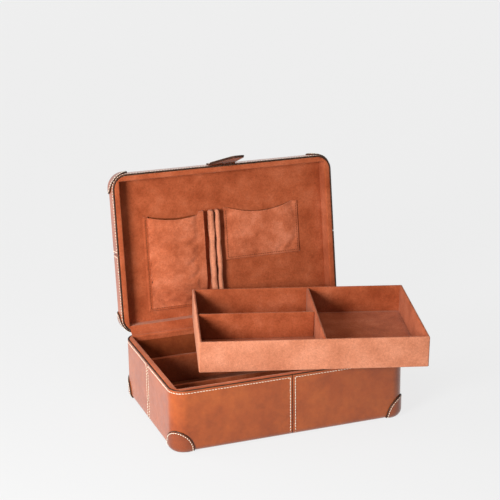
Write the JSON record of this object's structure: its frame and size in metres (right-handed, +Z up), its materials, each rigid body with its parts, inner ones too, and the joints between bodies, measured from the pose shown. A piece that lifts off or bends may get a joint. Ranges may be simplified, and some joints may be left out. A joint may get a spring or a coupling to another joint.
{
  "type": "jewellery case",
  "caption": "Leather-covered jewellery case with a hinged lid, suede lining, lid pockets, a flexing closure tab and a lift-out divided tray.",
  "frame": {"origin": "centre of the flat underside of the base, where the case stands", "axes": "+X to the right seen from the front, +Y from the front to the hinge at the back, +Z up"},
  "size_m": [0.3382, 0.2793, 0.2871],
  "materials": {
    "outer_leather": "smooth semi-gloss",
    "guard_leather": "smooth semi-gloss",
    "suede": "matt nap",
    "case_board": "matt",
    "hinge_brass": "satin",
    "magnet_steel": "satin"
  },
  "bodies": {
    "base": {"base_floor_board": "case_board", "base_front_board": "case_board", "base_back_board": "case_board", "base_left_board": "case_board", "base_right_board": "case_board", "base_panel_front_left": "outer_leather", "base_panel_front_right": "outer_leather", "base_panel_back_left": "outer_leather", "base_panel_back_right": "outer_leather", "base_bottom_leather": "outer_leather", "base_guard_front_left": "guard_leather", "base_guard_front_right": "guard_leather", "base_guard_back_left": "guard_leather", "base_guard_back_right": "guard_leather", "base_lining_front": "suede", "base_lining_back": "suede", "base_lining_left": "suede", "base_lining_right": "suede", "base_floor_pad": "suede", "tray_rest_rails": "suede", "compartment_divider": "suede", "base_catch_magnet": "magnet_steel", "hinge_leaf_base": "hinge_brass", "hinge_pin": "hinge_brass", "hinge_screws_base": "hinge_brass"},
    "lid": {"lid_top_board": "case_board", "lid_front_board": "case_board", "lid_back_board": "case_board", "lid_left_board": "case_board", "lid_right_board": "case_board", "lid_panel_front_left": "outer_leather", "lid_panel_front_right": "outer_leather", "lid_panel_back_left": "outer_leather", "lid_panel_back_right": "outer_leather", "lid_top_leather": "outer_leather", "lid_guard_front_left": "guard_leather", "lid_guard_front_right": "guard_leather", "lid_guard_back_left": "guard_leather", "lid_guard_back_right": "guard_leather", "lid_lining_front": "suede", "lid_lining_back": "suede", "lid_lining_left": "suede", "lid_lining_right": "suede", "lid_lining_panel": "suede", "hinge_leaf_lid": "hinge_brass", "hinge_screws_lid": "hinge_brass", "left_pocket": "suede", "right_pocket": "suede", "ring_bars": "suede", "tab_anchor": "outer_leather"},
    "tab": {"tab_flap": "outer_leather", "tab_flap_lining": "suede", "tab_magnet": "magnet_steel"},
    "tray": {"tray_floor": "suede", "tray_front_wall": "suede", "tray_back_wall": "suede", "tray_left_wall": "suede", "tray_right_wall": "suede", "tray_cross_divider": "suede", "tray_long_divider": "suede"}
  },
  "joints": [
    {"name": "lid_hinge", "type": "hinge", "parent": "base", "child": "lid", "pos_m": [0, 0.0964, 0.074], "axis": [1, 0, 0], "range_deg": [0, 97.7]},
    {"name": "tab_flex", "type": "hinge", "parent": "lid", "child": "tab", "pos_m": [0, 0.12875, 0.26549], "axis": [1, 0, 0], "range_deg": [0, 9], "stiffness_Nm_per_rad": 0.05},
    {"name": "tray_lift_off", "type": "slide", "parent": "base", "child": "tray", "axis": [0, -0.9992, 0.04], "range_m": [0, 0.33]}
  ],
  "couplings": [
    {"joint": "tray_lift_off", "follows": "lid_hinge", "m_per_rad": 0.193}
  ]
}
